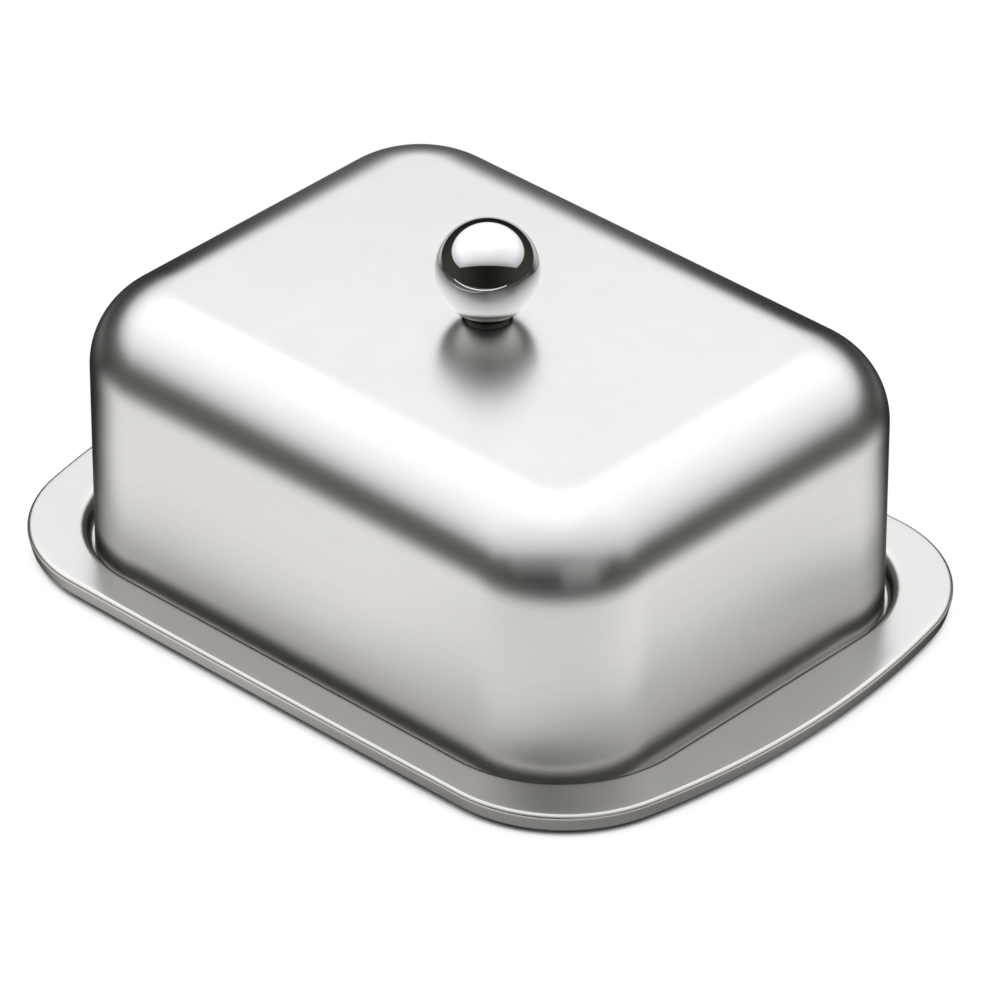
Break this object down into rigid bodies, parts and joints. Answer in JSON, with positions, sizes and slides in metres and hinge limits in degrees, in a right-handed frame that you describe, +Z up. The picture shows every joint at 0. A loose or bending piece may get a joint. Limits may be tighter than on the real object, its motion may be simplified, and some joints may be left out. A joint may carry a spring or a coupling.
{
  "type": "butter dish",
  "caption": "Stainless steel butter dish: a shallow rectangular tray with a turned-down rim, and a deep lift-off lid with rounded edges and a polished ball knob.",
  "frame": {"origin": "middle of the underside of the tray, on the surface that it stands on", "axes": "+X along the dish's length, +Y across its width, +Z up through the ball knob"},
  "size_m": [0.1756, 0.131, 0.0818],
  "materials": {
    "tray_steel": "satin stainless steel sheet",
    "lid_steel": "satin stainless steel sheet",
    "polished_steel": "mirror-polished stainless steel",
    "collar_steel": "dark turned steel",
    "fastener_steel": "plain stainless steel hardware"
  },
  "bodies": {
    "tray": {"tray": "tray_steel"},
    "lid": {"lid": "lid_steel", "knob_ball": "polished_steel", "knob_collar": "collar_steel", "knob_flat_washer": "fastener_steel", "knob_lock_washer": "fastener_steel", "knob_screw": "fastener_steel"}
  },
  "joints": [
    {"name": "lid_lift", "type": "slide", "parent": "tray", "child": "lid", "axis": [0, 0, 1], "range_m": [0, 0.12]}
  ]
}
